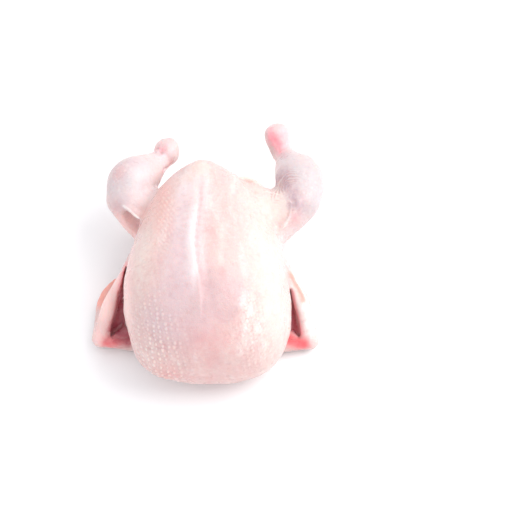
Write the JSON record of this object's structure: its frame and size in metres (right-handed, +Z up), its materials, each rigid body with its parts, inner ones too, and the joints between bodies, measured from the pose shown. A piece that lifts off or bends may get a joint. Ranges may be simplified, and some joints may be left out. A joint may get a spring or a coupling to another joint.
{
  "type": "whole raw chicken",
  "caption": "Whole raw chicken, plucked and dressed, lying on its back with legs out and wings folded at its sides",
  "frame": {"origin": "middle of the box that holds the bird, on the surface it lies on", "axes": "+Z up, breast up; the neck end faces -Y, the tail and legs +Y; the bird's right side is -X"},
  "size_m": [0.219, 0.2708, 0.1173],
  "materials": {
    "raw_skin": "moist pale pink skin"
  },
  "bodies": {
    "root": {"chicken": "raw_skin"}
  },
  "joints": []
}
